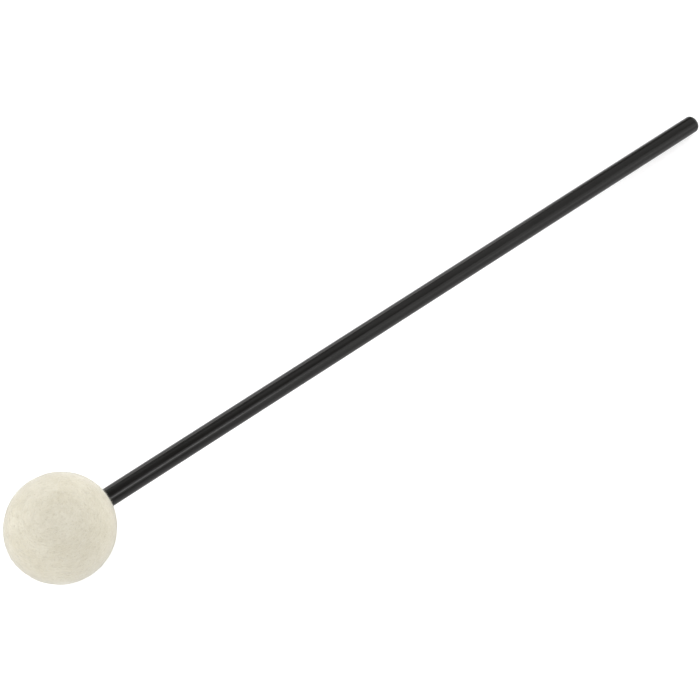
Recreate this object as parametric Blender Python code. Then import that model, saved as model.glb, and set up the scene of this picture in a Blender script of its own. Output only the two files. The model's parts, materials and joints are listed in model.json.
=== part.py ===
"""Drum mallet: a seamless felt ball on a straight black glass-fibre shaft.

Metres, +Z up. The mallet lies at rest on the plane z = 0, along X, with its head towards -X.
It touches the plane with the underside of the head and with the butt of the shaft, so the
shaft runs a few degrees downhill towards +X. The origin is on that plane, under the middle of
the mallet's box.

Every piece is turned about the shaft's axis. The profiles below are lists of (x, r) points,
where x runs along that axis from the head's centre towards the butt and r is the radius.
"""

from math import asin, atan2, cos, pi, radians, sin, sqrt, tan

import bmesh
import bpy

# Driving dimensions
OVERALL_LENGTH = 0.3600
HEAD_DIAMETER = 0.0435
SHAFT_DIAMETER = 0.0080
CORE_DIAMETER = 0.0240
WADDING_DIAMETER = 0.0340

# Shaft
BUTT_ROUNDING = 0.0022
TIP_CHAMFER = 0.0008
TIP_DEPTH = 0.0036
SHAFT_RINGS = 8

# Head
SEAT_GAP = 0.0003
CORE_FLAT_RADIUS = 0.0062
CORE_EDGE_CHAMFER = 0.0004
BORE_MOUTH_CHAMFER = 0.0007
DRILL_POINT_ANGLE = radians(118)
GLUE_POOL_DEPTH = 0.0012
NECK_LIP_RADIUS = 0.0009
WADDING_LIP_RADIUS = 0.0005
CONTACT_FLAT_DEPTH = 0.0005

# Facets
TURNS = 48
SHELL_STEPS = 22
INNER_STEPS = 15
CORE_STEPS = 12
LIP_STEPS = 5
BUTT_STEPS = 7
POLE_MERGE = 1e-7

HEAD_RADIUS = HEAD_DIAMETER / 2
SHAFT_RADIUS = SHAFT_DIAMETER / 2
CORE_RADIUS = CORE_DIAMETER / 2
WADDING_RADIUS = WADDING_DIAMETER / 2
BORE_RADIUS = SHAFT_RADIUS + SEAT_GAP
BORE_END_X = -TIP_DEPTH - GLUE_POOL_DEPTH
DRILL_POINT_X = BORE_END_X - BORE_RADIUS / tan(DRILL_POINT_ANGLE / 2)
BUTT_X = OVERALL_LENGTH - HEAD_RADIUS


def arc(centre_x, centre_r, radius, start, end, steps):
    """Points on a circular arc, in (x, r), from one angle to the other, both ends included."""
    angles = [start + (end - start) * i / steps for i in range(steps + 1)]
    return [(centre_x + radius * cos(a), centre_r + radius * sin(a)) for a in angles]


def turn(name, profile, material):
    """A closed body made by spinning an (x, r) profile once round the X axis."""
    shape = bmesh.new()
    points = [shape.verts.new((x, 0, -r)) for x, r in profile]
    for first, second in zip(points, points[1:]):
        shape.edges.new((first, second))
    bmesh.ops.spin(
        shape,
        geom=shape.verts[:] + shape.edges[:],
        cent=(0, 0, 0),
        axis=(1, 0, 0),
        angle=2 * pi,
        steps=TURNS,
        use_merge=True,
    )
    bmesh.ops.remove_doubles(shape, verts=shape.verts, dist=POLE_MERGE)
    bmesh.ops.recalc_face_normals(shape, faces=shape.faces)
    mesh = bpy.data.meshes.new(name)
    shape.to_mesh(mesh)
    shape.free()
    mesh.shade_smooth()
    mesh.set_sharp_from_angle(angle=radians(30))
    mesh.materials.append(material)
    piece = bpy.data.objects.new(name, mesh)
    bpy.context.collection.objects.link(piece)
    return piece


def rolled_lip(outer_radius, lip_radius):
    """The rounding that leads a ball's surface into its shaft hole: centre x, and start angle."""
    centre_r = BORE_RADIUS + lip_radius
    centre_x = sqrt((outer_radius - lip_radius) ** 2 - centre_r**2)
    return centre_x, atan2(centre_r, centre_x)


def ball_with_hole(radius, lip_radius, steps):
    """Profile of a ball's outside, from its far pole round to the wall of the shaft hole."""
    lip_x, lip_angle = rolled_lip(radius, lip_radius)
    lip_r = BORE_RADIUS + lip_radius
    outside = arc(0, 0, radius, pi, lip_angle, steps)
    return outside + arc(lip_x, lip_r, lip_radius, lip_angle, -pi / 2, LIP_STEPS)[1:]


def shaft_profile():
    """From the flat, chamfered tip inside the core to the well rounded butt."""
    tip = [(-TIP_DEPTH, 0), (-TIP_DEPTH, SHAFT_RADIUS - TIP_CHAMFER)]
    start_x = TIP_CHAMFER - TIP_DEPTH
    end_x = BUTT_X - BUTT_ROUNDING
    ring_step = (end_x - start_x) / SHAFT_RINGS
    barrel = [(start_x + i * ring_step, SHAFT_RADIUS) for i in range(SHAFT_RINGS)]
    shoulder_r = SHAFT_RADIUS - BUTT_ROUNDING
    butt = arc(end_x, shoulder_r, BUTT_ROUNDING, pi / 2, 0, BUTT_STEPS)
    return tip + barrel + butt + [(BUTT_X, 0)]


def core_profile():
    """A turned wooden ball with a flat at each pole and a blind, drill-pointed hole."""
    flat_angle = asin(CORE_FLAT_RADIUS / CORE_RADIUS)
    flat_x = CORE_RADIUS * cos(flat_angle)
    edge_r = CORE_FLAT_RADIUS - CORE_EDGE_CHAMFER
    return [
        (-flat_x, 0),
        (-flat_x, edge_r),
        *arc(0, 0, CORE_RADIUS, pi - flat_angle, flat_angle, CORE_STEPS),
        (flat_x, edge_r),
        (flat_x, BORE_RADIUS + BORE_MOUTH_CHAMFER),
        (flat_x - BORE_MOUTH_CHAMFER, BORE_RADIUS),
        (BORE_END_X, BORE_RADIUS),
        (DRILL_POINT_X, 0),
    ]


def glue_profile():
    """Cured glue that pooled in the drill point, below the tip of the shaft."""
    top_x = -TIP_DEPTH - SEAT_GAP
    point_x = DRILL_POINT_X + SEAT_GAP / sin(DRILL_POINT_ANGLE / 2)
    shoulder_x = point_x + SHAFT_RADIUS / tan(DRILL_POINT_ANGLE / 2)
    return [(top_x, 0), (top_x, SHAFT_RADIUS), (shoulder_x, SHAFT_RADIUS), (point_x, 0)]


def wadding_profile():
    """Soft inner felt: a shell that follows the core inside and is a ball outside."""
    seat_radius = CORE_RADIUS + SEAT_GAP
    seat_x = sqrt(CORE_RADIUS**2 - CORE_FLAT_RADIUS**2) + SEAT_GAP
    seat_angle = atan2(sqrt(seat_radius**2 - seat_x**2), seat_x)
    inside = arc(0, 0, seat_radius, seat_angle, pi - seat_angle, INNER_STEPS)
    return [
        *ball_with_hole(WADDING_RADIUS, WADDING_LIP_RADIUS, INNER_STEPS),
        (seat_x, BORE_RADIUS),
        *inside,
        (-seat_x, 0),
    ]


def cover_profile():
    """Dense outer felt: a seamless shell, rolled in where it closes on the shaft."""
    inner_radius = WADDING_RADIUS + SEAT_GAP
    neck_angle = asin(BORE_RADIUS / inner_radius)
    inside = arc(0, 0, inner_radius, neck_angle, pi, INNER_STEPS)
    return ball_with_hole(HEAD_RADIUS, NECK_LIP_RADIUS, SHELL_STEPS) + inside


def resting_pose():
    """Height of the head's centre, downhill angle of the shaft, and x of the head's centre."""
    head_z = HEAD_RADIUS - CONTACT_FLAT_DEPTH
    reach = BUTT_X - BUTT_ROUNDING
    shoulder_r = SHAFT_RADIUS - BUTT_ROUNDING
    fall = head_z - BUTT_ROUNDING
    slope = asin(fall / sqrt(reach**2 + shoulder_r**2)) - atan2(shoulder_r, reach)
    butt_end = reach * cos(slope) + shoulder_r * sin(slope) + BUTT_ROUNDING
    return head_z, slope, (HEAD_RADIUS - butt_end) / 2


def material(name, colour, roughness, sheen=0.0):
    """A plain Principled material; colour is linear RGB."""
    made = bpy.data.materials.new(name)
    made.use_nodes = True
    shader = made.node_tree.nodes["Principled BSDF"]
    shader.inputs["Base Color"].default_value = (*colour, 1)
    shader.inputs["Roughness"].default_value = roughness
    shader.inputs["Metallic"].default_value = 0
    shader.inputs["Sheen Weight"].default_value = sheen
    made.diffuse_color = (*colour, 1)
    return made


def resting_plane_cutter(head_x):
    """A slab whose top is the plane z = 0; it presses the contact flat into the head."""
    bpy.ops.mesh.primitive_cube_add(size=1, location=(head_x, 0, -HEAD_RADIUS / 2))
    slab = bpy.context.object
    slab.name = "resting_plane_cutter"
    slab.scale = (2 * HEAD_DIAMETER, 2 * HEAD_DIAMETER, HEAD_RADIUS)
    slab.hide_render = True
    slab.display_type = "WIRE"
    return slab


def build():
    for old in list(bpy.data.objects):
        bpy.data.objects.remove(old)

    black = material("black_glass_fibre", (0.022, 0.022, 0.023), 0.36)
    beech = material("turned_beech", (0.52, 0.33, 0.18), 0.6)
    amber = material("cured_glue", (0.60, 0.42, 0.16), 0.3)
    soft_wool = material("soft_wool_wadding", (0.78, 0.73, 0.62), 0.95, sheen=0.3)
    white_felt = material("white_wool_felt", (0.76, 0.71, 0.60), 0.95, sheen=0.3)

    head_z, slope, head_x = resting_pose()
    axis = bpy.data.objects.new("mallet_axis", None)
    bpy.context.collection.objects.link(axis)
    axis.location = (head_x, 0, head_z)
    axis.rotation_euler = (0, slope, 0)

    pieces = [
        turn("shaft", shaft_profile(), black),
        turn("head_core", core_profile(), beech),
        turn("glue_plug", glue_profile(), amber),
        turn("inner_wadding", wadding_profile(), soft_wool),
        turn("felt_cover", cover_profile(), white_felt),
    ]
    for piece in pieces:
        piece.parent = axis

    flat = pieces[-1].modifiers.new("contact_flat", "BOOLEAN")
    flat.operation = "DIFFERENCE"
    flat.solver = "EXACT"
    flat.object = resting_plane_cutter(head_x)


build()
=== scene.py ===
"""A felt-ball drum mallet lying on a white surface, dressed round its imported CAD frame.

Metres, +Z up. The head lies at -X and the butt of the shaft at +X. The felt head is modelled
here as a lumpy shell with separate wool fibres; the shaft keeps its CAD shape.
"""

import json
from math import asin, atan2, cos, pi, radians, sin, sqrt, tan
from typing import NamedTuple

import bpy
import numpy as np
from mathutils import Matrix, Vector, noise


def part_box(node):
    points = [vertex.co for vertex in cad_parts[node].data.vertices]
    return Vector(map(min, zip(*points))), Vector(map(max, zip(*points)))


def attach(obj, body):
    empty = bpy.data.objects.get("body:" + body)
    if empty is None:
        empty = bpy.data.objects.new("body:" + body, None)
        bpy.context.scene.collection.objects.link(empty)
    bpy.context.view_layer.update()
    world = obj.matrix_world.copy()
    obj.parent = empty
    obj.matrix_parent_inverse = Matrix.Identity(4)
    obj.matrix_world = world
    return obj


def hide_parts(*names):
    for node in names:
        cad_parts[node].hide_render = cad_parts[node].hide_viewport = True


MM = 0.001

# Camera: it looks at the target from this distance, heading measured from +Y towards +X
CAMERA_ELEVATION = radians(64.088)
CAMERA_HEADING = radians(36.666)
CAMERA_DISTANCE = 0.63918
CAMERA_TARGET = Vector((-0.015327, 0.002760, 0))
CAMERA_LENS = 76.780
CAMERA_SENSOR = 36

# Felt head
FELT_PROUD = 0.15 * MM
FELT_INSIDE_SHARE = 0.8
NECK_LIP = 0.9 * MM
NECK_CLEARANCE = 0.12 * MM
FELT_TURNS = 440
FELT_RINGS = 168
LIP_RINGS = 8
INSIDE_RINGS = 40
# Each layer of lumps: its size, its height, and a shift that makes its noise its own
FELT_LUMPS = (
    (13.0 * MM, 0.200 * MM, Vector((0, 0, 0))),
    (4.6 * MM, 0.100 * MM, Vector((7.1, 2.3, 5.9))),
    (1.7 * MM, 0.055 * MM, Vector((3.7, 9.2, 1.4))),
    (0.75 * MM, 0.030 * MM, Vector((8.8, 0.4, 6.3))),
)

# All wool fibres. A pair is the least and the most that a fibre has, but BETA and GAMMA are the
# two parameters of that distribution
SEED = 11
STRAND_RINGS = 5
STRAND_SIDES = 3
TIP_SHARE = 0.35
FLOOR_CLEARANCE = 0.05 * MM

# Fibres that stand on the felt: the fuzz is thin and long, the nap thick and short
STANDING_COUNT = 7000
STANDING_LENGTH_BETA = (1.6, 3.0)
STANDING_SHORTEST = 0.12 * MM
STANDING_LEAN = (0.5, 1.9)
STANDING_CURL = (0.1, 0.7)
CURL_SCATTER = 0.5
ROOT_DEPTH = 0.06 * MM
FUZZ_LONGEST = 1.5 * MM
FUZZ_RADIUS = (0.010 * MM, 0.020 * MM)
NAP_LONGEST = 0.7 * MM
NAP_RADIUS = (0.018 * MM, 0.030 * MM)

# Fibres felted flat
LAID_COUNT = 7000
LAID_RADIUS = (0.018 * MM, 0.034 * MM)
LAID_LENGTH_GAMMA = (4.0, 0.55 * MM)
LAID_LENGTH = (0.8 * MM, 4.5 * MM)
LAID_SWING = 0.9
LAID_LIFT = (0.0075 * MM, 0.105 * MM)
LAID_SINK = 0.02 * MM
LAID_NECK_MARGIN = 0.06

# Fibres at the edge of the shaft's hole
NECK_COUNT = 260
NECK_RADIUS = (0.014 * MM, 0.024 * MM)
NECK_LENGTH = (0.25 * MM, 1.0 * MM)
NECK_BAND = (0.05 * MM, 0.9 * MM)
NECK_ROOT_DEPTH = 0.25 * MM
NECK_LEAN_OUT = (0.25, 1.0)
NECK_SCATTER = 0.8
NECK_SPLAY = 0.12 * MM

# Stage
FLOOR_SIZE = 12.0
FLOOR_DROP = 0.1 * MM
FLOOR_COLOUR = (0.86, 0.86, 0.86, 1)
FLOOR_GLOW = 0.48

# Light
WORLD_LEVEL = 0.10
LAMP_DISTANCE = 1.5
# Azimuth from +X towards +Y, elevation, width and height in degrees, then level
LAMPS = {
    "key": (281, 46, 14, 11, 5.3),
    "front_fill": (294, 42, 56, 40, 1.5),
    "butt_fill": (30, 50, 50, 44, 0.8),
    "back_fill": (135, 44, 76, 30, 2.0),
    "low_butt": (0, 14, 60, 24, 3.4),
    "low_back": (90, 14, 60, 24, 3.0),
    "low_head": (190, 14, 66, 24, 2.9),
    "low_front": (302, 14, 44, 24, 1.4),
}


class Ball(NamedTuple):
    """The felt's true ball, the shaft's direction from head to butt, and the shaft's radius."""

    centre: Vector
    radius: float
    along: Vector
    rod: float


def felt_ball(record):
    """Reads the ball and the shaft from the CAD frame."""
    low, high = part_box("felt_cover")
    cover_radius = (high[1] - low[1]) / 2
    centre = Vector((low[0] + cover_radius, 0, high[2] - cover_radius))
    mounts = {mount["name"]: mount for mount in record["mounts"]}
    along = Vector(mounts["butt_face"]["axis"]).normalized()
    low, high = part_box("shaft")
    rod = (high[1] - low[1]) / 2
    return Ball(centre, cover_radius + FELT_PROUD, along, rod)


def new_object(name, verts, faces):
    mesh = bpy.data.meshes.new(name)
    mesh.from_pydata(verts, [], faces)
    made = bpy.data.objects.new(name, mesh)
    bpy.context.collection.objects.link(made)
    return made


def lumps(place):
    """How far the felt stands proud of a true ball at a place, in metres."""
    return sum(height * noise.noise(place / size + shift) for size, height, shift in FELT_LUMPS)


def arc(centre_x, centre_r, radius, start, end, steps):
    """Points on a circular arc, in (x, r), from one angle to the other, both ends included."""
    angles = [start + (end - start) * i / steps for i in range(steps + 1)]
    return [(centre_x + radius * cos(a), centre_r + radius * sin(a)) for a in angles]


def felt_profile(radius, hole):
    """The felt's section, in (x, r): far pole, ball, rolled-in lip, shaft hole, inside."""
    lip_r = hole + NECK_LIP
    lip_x = sqrt((radius - NECK_LIP) ** 2 - lip_r**2)
    lip_angle = atan2(lip_r, lip_x)
    outside = arc(0, 0, radius, pi, lip_angle, FELT_RINGS)
    lip = arc(lip_x, lip_r, NECK_LIP, lip_angle, -pi / 2, LIP_RINGS)[1:]
    inner = radius * FELT_INSIDE_SHARE
    inside = arc(0, 0, inner, asin(hole / inner), pi, INSIDE_RINGS)
    return outside + lip + inside


def turned_verts(ball, profile):
    """A ring of points for each point of the profile, and a single one at each pole."""
    centre, along = ball.centre, ball.along
    side = Vector((0, 1, 0))
    up = along.cross(side)
    turns = [2 * pi * i / FELT_TURNS for i in range(FELT_TURNS)]
    spokes = [side * cos(a) + up * sin(a) for a in turns]
    verts = [centre + along * profile[0][0]]
    for x, r in profile[1:-1]:
        verts += [centre + along * x + spoke * r for spoke in spokes]
    verts.append(centre + along * profile[-1][0])
    return verts


def turned_faces(rings):
    """Faces between those rings, and a fan at each pole, all facing out."""
    last = 1 + rings * FELT_TURNS
    last_ring = last - FELT_TURNS
    faces = []
    for here in range(FELT_TURNS):
        beside = (here + 1) % FELT_TURNS
        faces.append((0, 1 + beside, 1 + here))
        for ring in range(rings - 1):
            near = 1 + ring * FELT_TURNS
            far = near + FELT_TURNS
            faces.append((near + here, near + beside, far + beside, far + here))
        faces.append((last_ring + here, last_ring + beside, last))
    return faces


def felt_head(ball):
    """The felt as one closed shell with a hole for the shaft, lumpy outside."""
    profile = felt_profile(ball.radius, ball.rod + NECK_CLEARANCE)
    verts = turned_verts(ball, profile)
    outside_count = 1 + (FELT_RINGS + LIP_RINGS // 2) * FELT_TURNS
    for n in range(outside_count):
        away = (verts[n] - ball.centre).normalized()
        verts[n] = verts[n] + away * lumps(verts[n])
    for place in verts:
        place.z = max(place.z, 0)
    piece = new_object("felt_head", verts, turned_faces(len(profile) - 2))
    piece.data.validate()
    piece.data.shade_smooth()
    return piece


def unit(rows):
    """The rows, each scaled to length 1."""
    tiny = 1e-12
    return rows / np.maximum(np.linalg.norm(rows, axis=-1, keepdims=True), tiny)


def strand_faces():
    """The faces of one strand: its root, its sides ring by ring, and its tip."""
    faces = [(2, 1, 0)]
    for ring in range(STRAND_RINGS - 1):
        near = ring * STRAND_SIDES
        far = near + STRAND_SIDES
        for side in range(STRAND_SIDES):
            beside = (side + 1) % STRAND_SIDES
            faces.append((near + side, near + beside, far + beside, far + side))
    tip = (STRAND_RINGS - 1) * STRAND_SIDES
    faces.append((tip, tip + 1, tip + 2))
    return faces


def strands(name, paths, radius):
    """Closed, tapered fibres as one mesh. paths is (count, rings, 3), radius (count,)."""
    count = len(paths)
    along = unit(np.gradient(paths, axis=1))
    steep = 0.8
    helper = np.where(np.abs(along[:, :1, 2:]) < steep, [0.0, 0.0, 1.0], [1.0, 0.0, 0.0])
    first = unit(np.cross(along, np.broadcast_to(helper, along.shape)))
    second = np.cross(along, first)
    taper = np.linspace(1, TIP_SHARE, STRAND_RINGS)[None, :, None] * radius[:, None, None]
    verts = np.empty((count, STRAND_RINGS, STRAND_SIDES, 3))
    for side in range(STRAND_SIDES):
        angle = 2 * pi * side / STRAND_SIDES
        verts[:, :, side] = paths + taper * (cos(angle) * first + sin(angle) * second)
    verts[..., 2] = np.maximum(verts[..., 2], FLOOR_CLEARANCE)
    verts_each = STRAND_RINGS * STRAND_SIDES
    pattern = strand_faces()
    faces = [tuple(n * verts_each + i for i in face) for n in range(count) for face in pattern]
    piece = new_object(name, verts.reshape(-1, 3).tolist(), faces)
    piece.data.shade_smooth()
    lay_out_strands(piece.data, count, verts_each)
    return piece


def lay_out_strands(mesh, count, verts_each):
    """A UV map with a small cell for each fibre, running up the cell along the fibre."""
    left, side_step = 0.2, 0.3
    bottom, height = 0.1, 0.8
    cells = int(np.ceil(sqrt(count)))
    vertex = np.empty(len(mesh.loops), np.int32)
    mesh.loops.foreach_get("vertex_index", vertex)
    strand, within = vertex // verts_each, vertex % verts_each
    side, ring = within % STRAND_SIDES, within // STRAND_SIDES
    u = (strand % cells + left + side_step * side) / cells
    v = (strand // cells + bottom + height * ring / (STRAND_RINGS - 1)) / cells
    layer = mesh.uv_layers.new(name="OFBake")
    layer.uv.foreach_set("vector", np.stack([u, v], 1).astype(np.float32).ravel())


def roots_on_ball(rng, ball, count, keep_off):
    """Random directions from the ball's centre, clear of the shaft by an angle."""
    found = np.empty((0, 3))
    axis = np.array(ball.along)
    while len(found) < count:
        rows = unit(rng.normal(size=(count * 2, 3)))
        found = np.concatenate([found, rows[rows @ axis < cos(keep_off)]])
    return found[:count]


def felt_surface(ball, directions):
    """Places on the lumpy felt in those directions from its centre, as an array."""
    middle = np.array(ball.centre)
    rows = directions.reshape(-1, 3)
    places = np.empty_like(rows)
    for n, row in enumerate(rows):
        place = middle + row * ball.radius
        places[n] = place + row * lumps(Vector(place))
    return places.reshape(directions.shape)


def standing_paths(rng, ball, roots, longest):
    """Short curled fibres that rise from the felt."""
    count = len(roots)
    base = felt_surface(ball, roots)
    sideways = unit(np.cross(roots, rng.normal(size=(count, 3))))
    curl = unit(np.cross(roots, sideways) + rng.normal(0, CURL_SCATTER, (count, 3)))
    length = (longest * rng.beta(*STANDING_LENGTH_BETA, count)).clip(STANDING_SHORTEST)
    lean = rng.uniform(*STANDING_LEAN, count)[:, None]
    step = np.linspace(0, 1, STRAND_RINGS)[None, :, None]
    rise = unit(roots + sideways * lean)[:, None]
    bend = (curl * rng.uniform(*STANDING_CURL, count)[:, None])[:, None]
    start = base[:, None] - roots[:, None] * ROOT_DEPTH
    return start + length[:, None, None] * (step * rise + step**2 * bend)


def laid_paths(rng, ball, roots):
    """Longer fibres felted into the surface, each lying in a shallow arch."""
    count = len(roots)
    heading = unit(np.cross(roots, rng.normal(size=(count, 3))))
    swing = np.cross(roots, heading)
    length = rng.gamma(*LAID_LENGTH_GAMMA, count).clip(*LAID_LENGTH) / ball.radius
    turn = rng.normal(0, LAID_SWING, count)
    step = np.linspace(-0.5, 0.5, STRAND_RINGS)[None, :, None]
    onward = heading[:, None] * step * length[:, None, None]
    sideways = swing[:, None] * (turn * length)[:, None, None] * step**2
    way = unit(roots[:, None] + onward + sideways)
    lift = rng.uniform(*LAID_LIFT, count)[:, None, None]
    return felt_surface(ball, way) + way * (np.cos(step * pi) * lift - LAID_SINK)


def neck_paths(rng, ball):
    """Fibres at the edge of the hole, some of which lean out along the shaft."""
    axis = np.array(ball.along)
    side = np.array((0.0, 1.0, 0.0))
    up = np.cross(axis, side)
    angle = rng.uniform(0, 2 * pi, NECK_COUNT)
    spoke = np.cos(angle)[:, None] * side + np.sin(angle)[:, None] * up
    ring = ball.rod + rng.uniform(*NECK_BAND, NECK_COUNT)
    out = np.sqrt((ball.radius - NECK_ROOT_DEPTH) ** 2 - ring**2)
    base = np.array(ball.centre) + axis * out[:, None] + spoke * ring[:, None]
    length = rng.uniform(*NECK_LENGTH, NECK_COUNT)[:, None, None]
    round_way = np.cross(axis, spoke)
    lean_out = axis * rng.uniform(*NECK_LEAN_OUT, NECK_COUNT)[:, None]
    aim = lean_out + round_way * rng.normal(0, NECK_SCATTER, (NECK_COUNT, 1))
    step = np.linspace(0, 1, STRAND_RINGS)[None, :, None]
    paths = base[:, None] + length * step * unit(aim)[:, None]
    return paths + spoke[:, None] * step**2 * NECK_SPLAY


class Nodes:
    """A material's node tree, with short calls to add nodes and to link them."""

    def __init__(self, name):
        self.material = bpy.data.materials.new(name)
        self.material.use_nodes = True
        self.tree = self.material.node_tree
        self.shader = self.tree.nodes["Principled BSDF"]

    def add(self, kind, **settings):
        node = self.tree.nodes.new("ShaderNode" + kind)
        for name, value in settings.items():
            setattr(node, name, value)
        return node

    def link(self, source, target):
        self.tree.links.new(source, target)

    def place(self, stretch=(1, 1, 1), turn=(0, 0, 0)):
        """Object coordinates, scaled and turned."""
        mapping = self.add("Mapping")
        mapping.inputs["Scale"].default_value = stretch
        mapping.inputs["Rotation"].default_value = turn
        self.link(self.add("TexCoord").outputs["Object"], mapping.inputs["Vector"])
        return mapping.outputs["Vector"]

    def noise(self, place, size, detail, rough=0.55, distortion=0.0):
        """Noise from 0 to 1 whose largest features are about size across, in metres."""
        made = self.add("TexNoise")
        made.inputs["Scale"].default_value = 1 / size
        made.inputs["Detail"].default_value = detail
        made.inputs["Roughness"].default_value = rough
        made.inputs["Distortion"].default_value = distortion
        self.link(place, made.inputs["Vector"])
        return made.outputs["Fac"]

    def spread(self, value, low, high, to_low=0.0, to_high=1.0):
        """The value moved from the range low to high to the range to_low to to_high."""
        made = self.add("MapRange")
        made.inputs["From Min"].default_value = low
        made.inputs["From Max"].default_value = high
        made.inputs["To Min"].default_value = to_low
        made.inputs["To Max"].default_value = to_high
        self.link(value, made.inputs["Value"])
        return made.outputs["Result"]

    def mix(self, factor, first, second):
        """A blend of two colours, each given as a colour or as a socket."""
        made = self.add("Mix", data_type="RGBA")
        self.link(factor, made.inputs["Factor"])
        for name, colour in (("A_Color", first), ("B_Color", second)):
            socket = next(s for s in made.inputs if s.identifier == name)
            if isinstance(colour, tuple):
                socket.default_value = (*colour, 1)
            else:
                self.link(colour, socket)
        return next(s for s in made.outputs if s.identifier == "Result_Color")

    def bump(self, height, strength, distance, onto=None):
        made = self.add("Bump")
        made.inputs["Strength"].default_value = strength
        made.inputs["Distance"].default_value = distance
        self.link(height, made.inputs["Height"])
        if onto is not None:
            self.link(onto, made.inputs["Normal"])
        return made.outputs["Normal"]

    def surface(self, colour, roughness, normal=None, **values):
        """Sets the shader: sockets are linked, and plain values are written on it."""
        self.link(colour, self.shader.inputs["Base Color"])
        if isinstance(roughness, float):
            self.shader.inputs["Roughness"].default_value = roughness
        else:
            self.link(roughness, self.shader.inputs["Roughness"])
        if normal is not None:
            self.link(normal, self.shader.inputs["Normal"])
        for name, value in values.items():
            self.shader.inputs[name.replace("_", " ")].default_value = value
        return self.material


def felt_material():
    """White wool felt: cloudy, fibrous, with small darker flecks, and small pits darkened by
    painted shade.
    """
    dull = (0.715, 0.672, 0.545)
    bright = (0.775, 0.735, 0.615)
    dark_fleck = (0.50, 0.45, 0.33)
    pale_fleck = (0.80, 0.77, 0.67)
    pit_shade = (0.52, 0.47, 0.36)
    stretch = (1, 1, 5.0)
    turns = ((0, 0, 0), (0, radians(57), radians(31)), (radians(68), 0, radians(112)))
    n = Nodes("white_wool_felt")
    cloud = n.noise(n.place(), size=9 * MM, detail=3)
    colour = n.mix(n.spread(cloud, low=0.35, high=0.65), dull, bright)
    layers = []
    for turn in turns:
        place = n.place(stretch, turn)
        wool = n.noise(place, size=2.6 * MM, detail=5, rough=0.68, distortion=0.8)
        layers.append(wool)
        dark = n.spread(wool, low=0.30, high=0.50, to_low=0.24, to_high=0.0)
        colour = n.mix(dark, colour, dark_fleck)
        pale = n.spread(wool, low=0.54, high=0.70, to_low=0.0, to_high=0.26)
        colour = n.mix(pale, colour, pale_fleck)
    pits = n.noise(n.place(), size=0.9 * MM, detail=2)
    # Painted shade: the pits are darkened where their bump dips.
    colour = n.mix(n.spread(pits, low=0.30, high=0.42, to_low=0.45, to_high=0.0), colour, pit_shade)
    normal = None
    for wool in layers:
        normal = n.bump(wool, strength=0.5, distance=0.12 * MM, onto=normal)
    normal = n.bump(pits, strength=0.5, distance=0.10 * MM, onto=normal)
    return n.surface(colour, roughness=0.95, normal=normal, Sheen_Weight=1.0,
                     Sheen_Roughness=0.3, Specular_IOR_Level=0.2)


def fibre_material():
    """Single wool fibres: paler than the felt's body, each a little different."""
    n = Nodes("wool_fibre")
    tone = n.noise(n.place(), size=1.3 * MM, detail=2)
    colour = n.mix(n.spread(tone, low=0.3, high=0.7), (0.76, 0.73, 0.64), (0.86, 0.84, 0.78))
    return n.surface(colour, roughness=0.7, Sheen_Weight=0.3, Specular_IOR_Level=0.3)


def shaft_material(slope):
    """Black glass-fibre rod: satin, with faint lengthwise grain and small scuffs."""
    deep = (0.0085, 0.0080, 0.0072)
    black = (0.0125, 0.0120, 0.0112)
    worn = (0.0175, 0.0170, 0.0165)
    n = Nodes("black_glass_fibre")
    lengthwise = n.place(stretch=(0.03, 1, 1), turn=(0, slope, 0))
    grain = n.noise(lengthwise, size=0.5 * MM, detail=4, rough=0.6)
    cloud = n.noise(n.place(), size=22 * MM, detail=3)
    scuffs = n.noise(n.place(), size=0.6 * MM, detail=3, rough=0.7)
    colour = n.mix(n.spread(grain, low=0.35, high=0.65), deep, black)
    colour = n.mix(n.spread(cloud, low=0.40, high=0.65, to_high=0.35), colour, worn)
    rough = n.spread(scuffs, low=0.3, high=0.7, to_low=0.15, to_high=0.23)
    normal = n.bump(grain, strength=0.10, distance=0.02 * MM)
    normal = n.bump(scuffs, strength=0.08, distance=0.02 * MM, onto=normal)
    return n.surface(colour, rough, normal, Specular_IOR_Level=0.22)


def beech_material():
    """Turned beech: growth rings and short dark flecks."""
    dark = (0.44, 0.26, 0.13)
    pale = (0.56, 0.36, 0.20)
    fleck = (0.33, 0.18, 0.09)
    n = Nodes("turned_beech")
    rings = n.add("TexWave", wave_type="RINGS", rings_direction="X")
    rings.inputs["Scale"].default_value = 260
    rings.inputs["Distortion"].default_value = 3
    rings.inputs["Detail"].default_value = 3
    n.link(n.place(), rings.inputs["Vector"])
    flecks = n.noise(n.place(stretch=(0.2, 1, 1)), size=0.7 * MM, detail=4)
    colour = n.mix(rings.outputs["Fac"], dark, pale)
    colour = n.mix(n.spread(flecks, low=0.3, high=0.45, to_low=0.5, to_high=0.0), colour, fleck)
    normal = n.bump(flecks, strength=0.3, distance=0.05 * MM)
    return n.surface(colour, roughness=0.6, normal=normal)


def glue_material():
    """Cured glue: amber, with a dull gloss."""
    n = Nodes("cured_glue")
    cloud = n.noise(n.place(), size=2 * MM, detail=3)
    colour = n.mix(cloud, (0.52, 0.34, 0.11), (0.68, 0.50, 0.22))
    rough = n.spread(cloud, low=0.3, high=0.7, to_low=0.22, to_high=0.38)
    return n.surface(colour, rough)


def wadding_material():
    """Carded wool: looser and rougher than the felt."""
    n = Nodes("soft_wool_wadding")
    place = n.place(stretch=(1, 1, 4))
    wool = n.noise(place, size=2.5 * MM, detail=5, rough=0.7, distortion=1.0)
    colour = n.mix(n.spread(wool, low=0.3, high=0.7), (0.68, 0.62, 0.50), (0.84, 0.80, 0.70))
    normal = n.bump(wool, strength=0.7, distance=0.2 * MM)
    return n.surface(colour, roughness=0.95, normal=normal, Sheen_Weight=0.3)


def wear(node, material):
    """Gives a CAD node's object one material in all its slots."""
    for slot in node.material_slots:
        slot.material = material


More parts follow.
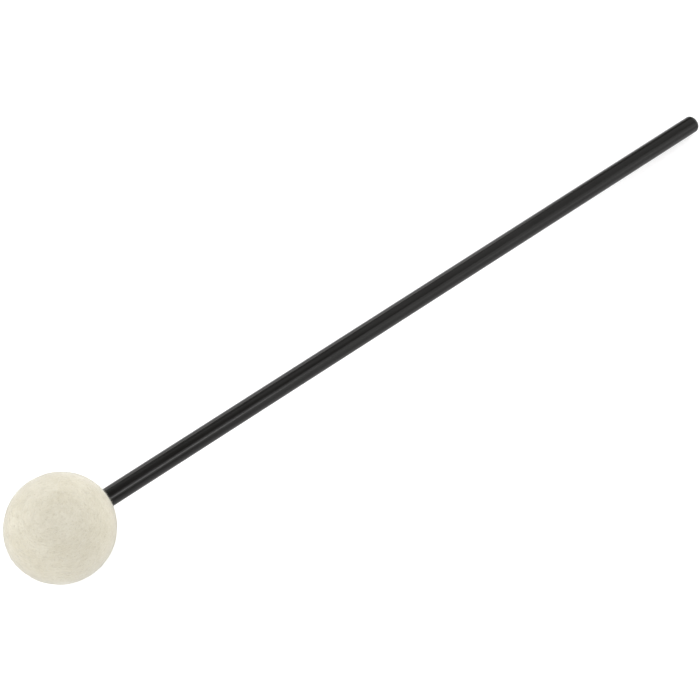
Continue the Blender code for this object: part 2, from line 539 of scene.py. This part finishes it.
def floor_material():
    """White paint, with a glow for rays from the camera and for those mirrored or let through."""
    material = bpy.data.materials.new("white_surface")
    material.use_nodes = True
    tree = material.node_tree
    tree.nodes.clear()
    paint = tree.nodes.new("ShaderNodeBsdfDiffuse")
    paint.inputs["Color"].default_value = FLOOR_COLOUR
    strength = tree.nodes.new("ShaderNodeMath")
    strength.operation = "MULTIPLY"
    strength.inputs[1].default_value = FLOOR_GLOW
    glow = tree.nodes.new("ShaderNodeEmission")
    both = tree.nodes.new("ShaderNodeAddShader")
    out = tree.nodes.new("ShaderNodeOutputMaterial")
    tree.links.new(seen_directly(tree), strength.inputs[0])
    tree.links.new(strength.outputs[0], glow.inputs["Strength"])
    tree.links.new(paint.outputs[0], both.inputs[0])
    tree.links.new(glow.outputs[0], both.inputs[1])
    tree.links.new(both.outputs[0], out.inputs["Surface"])
    return material


def seen_directly(tree):
    """1 for rays from the camera and for those mirrored or let through, else 0."""
    path = tree.nodes.new("ShaderNodeLightPath")
    total = path.outputs["Is Camera Ray"]
    for name in ("Is Glossy Ray", "Is Transmission Ray"):
        more = tree.nodes.new("ShaderNodeMath")
        more.operation = "MAXIMUM"
        tree.links.new(total, more.inputs[0])
        tree.links.new(path.outputs[name], more.inputs[1])
        total = more.outputs[0]
    return total


def white_floor():
    """A white surface that takes a soft contact shadow."""
    half = FLOOR_SIZE / 2
    outline = ((-half, -half), (half, -half), (half, half), (-half, half))
    floor = new_object("floor", [(x, y, -FLOOR_DROP) for x, y in outline], [(0, 1, 2, 3)])
    floor.data.materials.append(floor_material())


def studio_world():
    """A dim, even surround."""
    world = bpy.data.worlds.new("studio")
    bpy.context.scene.world = world
    world.use_nodes = True
    around = world.node_tree.nodes["Background"]
    around.inputs["Color"].default_value = (1, 1, 1, 1)
    around.inputs["Strength"].default_value = WORLD_LEVEL


def softbox(name, azimuth, elevation, wide, high, level):
    """A rectangular lamp that faces the object; angles in degrees, level as radiance."""
    way = Vector((cos(radians(azimuth)), sin(radians(azimuth)), 0)) * cos(radians(elevation))
    way.z = sin(radians(elevation))
    data = bpy.data.lights.new(name, "AREA")
    data.shape = "RECTANGLE"
    data.size = 2 * LAMP_DISTANCE * tan(radians(wide / 2))
    data.size_y = 2 * LAMP_DISTANCE * tan(radians(high / 2))
    data.energy = level * pi * data.size * data.size_y
    lamp = bpy.data.objects.new(name, data)
    bpy.context.collection.objects.link(lamp)
    lamp.location = way * LAMP_DISTANCE
    lamp.rotation_euler = way.to_track_quat("Z", "Y").to_euler()


def photo_camera():
    data = bpy.data.cameras.new("camera")
    data.lens = CAMERA_LENS
    data.sensor_width = CAMERA_SENSOR
    camera = bpy.data.objects.new("camera", data)
    bpy.context.collection.objects.link(camera)
    flat = cos(CAMERA_ELEVATION)
    view = Vector((sin(CAMERA_HEADING) * flat, cos(CAMERA_HEADING) * flat, -sin(CAMERA_ELEVATION)))
    camera.location = CAMERA_TARGET - view * CAMERA_DISTANCE
    camera.rotation_euler = view.to_track_quat("-Z", "Y").to_euler()
    bpy.context.scene.camera = camera


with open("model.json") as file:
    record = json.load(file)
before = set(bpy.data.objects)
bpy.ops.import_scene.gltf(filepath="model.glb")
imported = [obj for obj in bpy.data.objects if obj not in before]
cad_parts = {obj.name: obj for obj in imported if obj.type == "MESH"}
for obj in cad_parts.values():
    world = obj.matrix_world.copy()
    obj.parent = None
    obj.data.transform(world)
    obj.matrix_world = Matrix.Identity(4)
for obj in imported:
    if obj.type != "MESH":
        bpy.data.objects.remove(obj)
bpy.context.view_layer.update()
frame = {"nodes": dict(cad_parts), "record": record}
bpy.context.scene.view_settings.view_transform = "Standard"

# Camera, light and floor
photo_camera()
studio_world()
for name, values in LAMPS.items():
    softbox(name, *values)
white_floor()

# CAD pieces that keep their shape
ball = felt_ball(frame["record"])
slope = asin(-ball.along.z)
nodes = frame["nodes"]
wear(nodes["shaft"], shaft_material(slope))
wear(nodes["head_core"], beech_material())
wear(nodes["glue_plug"], glue_material())
wear(nodes["inner_wadding"], wadding_material())

# Felt head
head = felt_head(ball)
head.data.materials.append(felt_material())
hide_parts("felt_cover")

# Wool fibres
rng = np.random.default_rng(SEED)
neck_angle = asin((ball.rod + NECK_LIP) / ball.radius)
roots = roots_on_ball(rng, ball, STANDING_COUNT, neck_angle)
paths = standing_paths(rng, ball, roots, FUZZ_LONGEST)
fuzz = strands("felt_fuzz", paths, rng.uniform(*FUZZ_RADIUS, STANDING_COUNT))
roots = roots_on_ball(rng, ball, STANDING_COUNT, neck_angle)
paths = standing_paths(rng, ball, roots, NAP_LONGEST)
nap = strands("felt_nap", paths, rng.uniform(*NAP_RADIUS, STANDING_COUNT))
roots = roots_on_ball(rng, ball, LAID_COUNT, neck_angle + LAID_NECK_MARGIN)
paths = laid_paths(rng, ball, roots)
laid = strands("felt_laid_fibres", paths, rng.uniform(*LAID_RADIUS, LAID_COUNT))
paths = neck_paths(rng, ball)
neck = strands("felt_neck_fibres", paths, rng.uniform(*NECK_RADIUS, NECK_COUNT))
wool_fibre = fibre_material()
for piece in (fuzz, nap, laid, neck):
    piece.data.materials.append(wool_fibre)

for piece in (head, fuzz, nap, laid, neck):
    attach(piece, "root")
